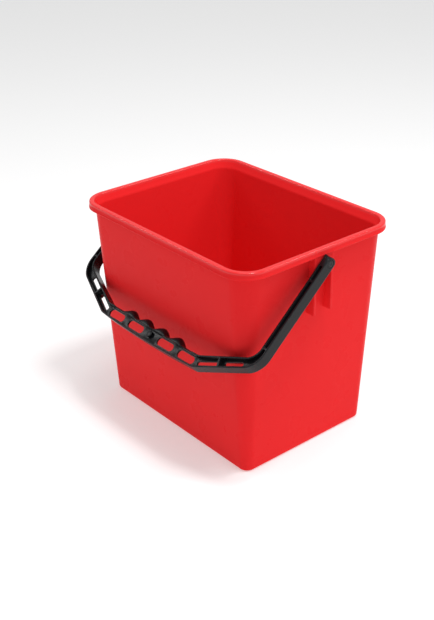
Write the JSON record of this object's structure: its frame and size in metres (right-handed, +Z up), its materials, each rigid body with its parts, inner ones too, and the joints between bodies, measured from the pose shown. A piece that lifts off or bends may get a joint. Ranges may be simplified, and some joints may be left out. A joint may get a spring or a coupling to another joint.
{
  "type": "wash bucket",
  "caption": "Rectangular moulded wash bucket with a hooked rim and a swinging bail handle with a finger grip.",
  "frame": {"origin": "middle of the tub's underside, on the plane that the tub stands on", "axes": "+Z up, X along the bail's pivot axis and the tub's long side, -Y towards the side that the bail rests on"},
  "size_m": [0.2916, 0.2293, 0.236],
  "materials": {
    "tub_plastic": "smooth red polypropylene, satin gloss",
    "bail_plastic": "black polypropylene, fine satin",
    "stud_plastic": "black polypropylene, fine satin"
  },
  "bodies": {
    "tub": {"bucket_tub": "tub_plastic"},
    "bail": {"bail_handle": "bail_plastic", "pivot_stud_left": "stud_plastic", "pivot_stud_right": "stud_plastic"}
  },
  "joints": [
    {"name": "bail_hinge", "type": "hinge", "parent": "tub", "child": "bail", "pos_m": [0, 0, 0.2214], "axis": [-1, 0, 0], "range_deg": [0, 260]}
  ]
}
